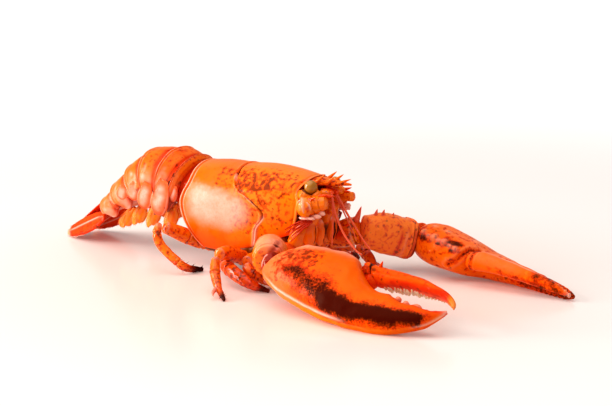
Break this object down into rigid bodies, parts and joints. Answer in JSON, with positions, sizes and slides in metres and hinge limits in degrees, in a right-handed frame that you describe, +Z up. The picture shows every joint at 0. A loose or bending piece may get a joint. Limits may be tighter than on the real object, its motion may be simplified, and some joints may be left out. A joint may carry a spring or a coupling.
{
  "type": "cooked lobster",
  "caption": "Whole cooked lobster with a long body shell, a curled jointed tail with a folded fan, a broad crushing claw, a slender cutting claw, walking legs and trimmed feelers.",
  "frame": {"origin": "middle of the lobster's outline on the surface it lies on", "axes": "+X forward along the body towards the claws, +Y to the animal's left, +Z up"},
  "size_m": [0.3422, 0.1585, 0.0665],
  "materials": {
    "shell": "glossy wet orange shell",
    "claw_shell": "glossy orange shell with dark brown patches",
    "leg_shell": "glossy deep orange-red shell",
    "membrane": "moist translucent pale orange skin",
    "eye": "polished dark brown"
  },
  "bodies": {
    "root": {"abdomen_1": "shell", "abdomen_2": "shell", "abdomen_3": "shell", "abdomen_4": "shell", "abdomen_5": "shell", "abdomen_6": "shell", "antenna_left": "leg_shell", "antenna_right": "leg_shell", "antennule_left": "leg_shell", "antennule_right": "leg_shell", "carapace": "shell", "claw_left_carpus": "claw_shell", "claw_left_finger": "claw_shell", "claw_left_merus": "leg_shell", "claw_left_palm": "claw_shell", "claw_right_carpus": "claw_shell", "claw_right_finger": "claw_shell", "claw_right_merus": "leg_shell", "claw_right_palm": "claw_shell", "eye_left": "eye", "eye_right": "eye", "leg_left_1_lower": "leg_shell", "leg_left_1_upper": "leg_shell", "leg_left_2_lower": "leg_shell", "leg_left_2_upper": "leg_shell", "leg_left_3_lower": "leg_shell", "leg_left_3_upper": "leg_shell", "leg_left_4_lower": "leg_shell", "leg_left_4_upper": "leg_shell", "leg_right_1_lower": "leg_shell", "leg_right_1_upper": "leg_shell", "leg_right_2_lower": "leg_shell", "leg_right_2_upper": "leg_shell", "leg_right_3_lower": "leg_shell", "leg_right_3_upper": "leg_shell", "leg_right_4_lower": "leg_shell", "leg_right_4_upper": "leg_shell", "maxilliped_left": "leg_shell", "maxilliped_right": "leg_shell", "sternum": "membrane", "swimmeret_2_left": "membrane", "swimmeret_2_right": "membrane", "swimmeret_3_left": "membrane", "swimmeret_3_right": "membrane", "swimmeret_4_left": "membrane", "swimmeret_4_right": "membrane", "swimmeret_5_left": "membrane", "swimmeret_5_right": "membrane", "telson": "shell", "uropod_inner_left": "shell", "uropod_inner_right": "shell", "uropod_outer_left": "shell", "uropod_outer_right": "shell"}
  },
  "joints": []
}
